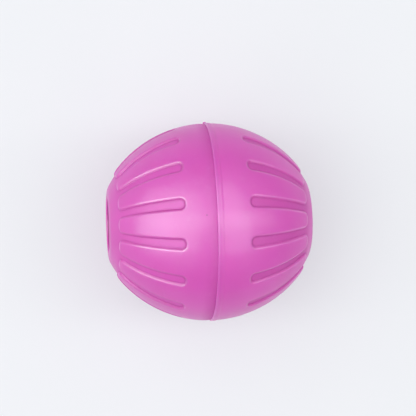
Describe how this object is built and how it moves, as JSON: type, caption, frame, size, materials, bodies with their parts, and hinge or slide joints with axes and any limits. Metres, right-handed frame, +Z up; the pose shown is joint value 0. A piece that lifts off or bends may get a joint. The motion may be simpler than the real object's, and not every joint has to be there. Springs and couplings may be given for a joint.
{
  "type": "squeaking dog ball",
  "caption": "Hollow moulded rubber dog ball with lengthwise grooves on both halves, a bonded seam round the middle and a reed squeaker plugged into one dimpled end.",
  "frame": {"origin": "centre of the ball", "axes": "+X through the ball's two ends, from the squeaker to the plain end; +Z up, with the ball lying on its side"},
  "size_m": [0.0664, 0.0654, 0.0654],
  "materials": {
    "ball_rubber": "satin moulded",
    "seam_cement": "satin",
    "squeaker_plastic": "satin moulded",
    "reed_film": "gloss film"
  },
  "bodies": {
    "ball": {"squeaker_half": "ball_rubber", "plain_half": "ball_rubber", "seam_bead": "seam_cement", "squeaker_body": "squeaker_plastic", "reed_bed": "squeaker_plastic", "reed_root": "reed_film", "reed_wedge": "squeaker_plastic"},
    "reed": {"reed_tongue": "reed_film"}
  },
  "joints": [
    {"name": "reed_beat", "type": "hinge", "parent": "ball", "child": "reed", "pos_m": [-0.02455, 0, 0.0001], "axis": [0, -1, 0], "range_deg": [-2.5, 4], "stiffness_Nm_per_rad": 0.002}
  ]
}
